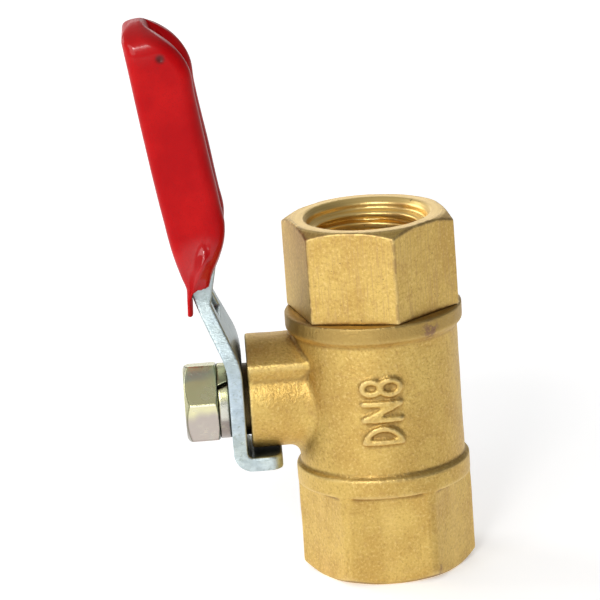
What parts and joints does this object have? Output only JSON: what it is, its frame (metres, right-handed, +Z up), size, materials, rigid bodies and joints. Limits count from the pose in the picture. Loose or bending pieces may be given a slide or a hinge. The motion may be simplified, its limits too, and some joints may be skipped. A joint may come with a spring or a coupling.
{
  "type": "ball valve",
  "caption": "Small brass two-piece ball valve with a side stem, a bent steel lever in a soft sleeve, and female threaded ports at both ends.",
  "frame": {"origin": "centre of the lower port's end face", "axes": "+Z up the flow axis to the upper port and the lever's tip; the stem leaves along -X; the raised size mark faces -Y"},
  "size_m": [0.0352, 0.0196, 0.0644],
  "materials": {
    "brass_forged": "satin, shot-blasted",
    "brass_turned": "turned",
    "brass_plated": "polished plating",
    "ptfe": "matte white",
    "black_rubber": "matte",
    "zinc_steel": "bright zinc, slightly blue",
    "chromate_steel": "yellow chromate",
    "red_vinyl": "satin dipped vinyl"
  },
  "bodies": {
    "valve_body": {"body": "brass_forged", "end_connector": "brass_forged", "body_seal": "ptfe", "seat_lower": "ptfe", "seat_upper": "ptfe", "thrust_washer": "ptfe"},
    "handle": {"stem": "brass_turned", "o_ring_inner": "black_rubber", "o_ring_outer": "black_rubber", "lever": "zinc_steel", "lever_sleeve": "red_vinyl", "lock_washer": "chromate_steel", "lever_bolt": "chromate_steel"},
    "ball": {"ball": "brass_plated"}
  },
  "joints": [
    {"name": "lever_turn", "type": "hinge", "parent": "valve_body", "child": "handle", "pos_m": [-0.0158, 0, 0.0202], "axis": [-1, 0, 0], "range_deg": [0, 90]},
    {"name": "ball_turn", "type": "hinge", "parent": "valve_body", "child": "ball", "pos_m": [0, 0, 0.0202], "axis": [-1, 0, 0], "range_deg": [0, 90]}
  ],
  "couplings": [
    {"joint": "ball_turn", "follows": "lever_turn", "ratio": 1}
  ]
}
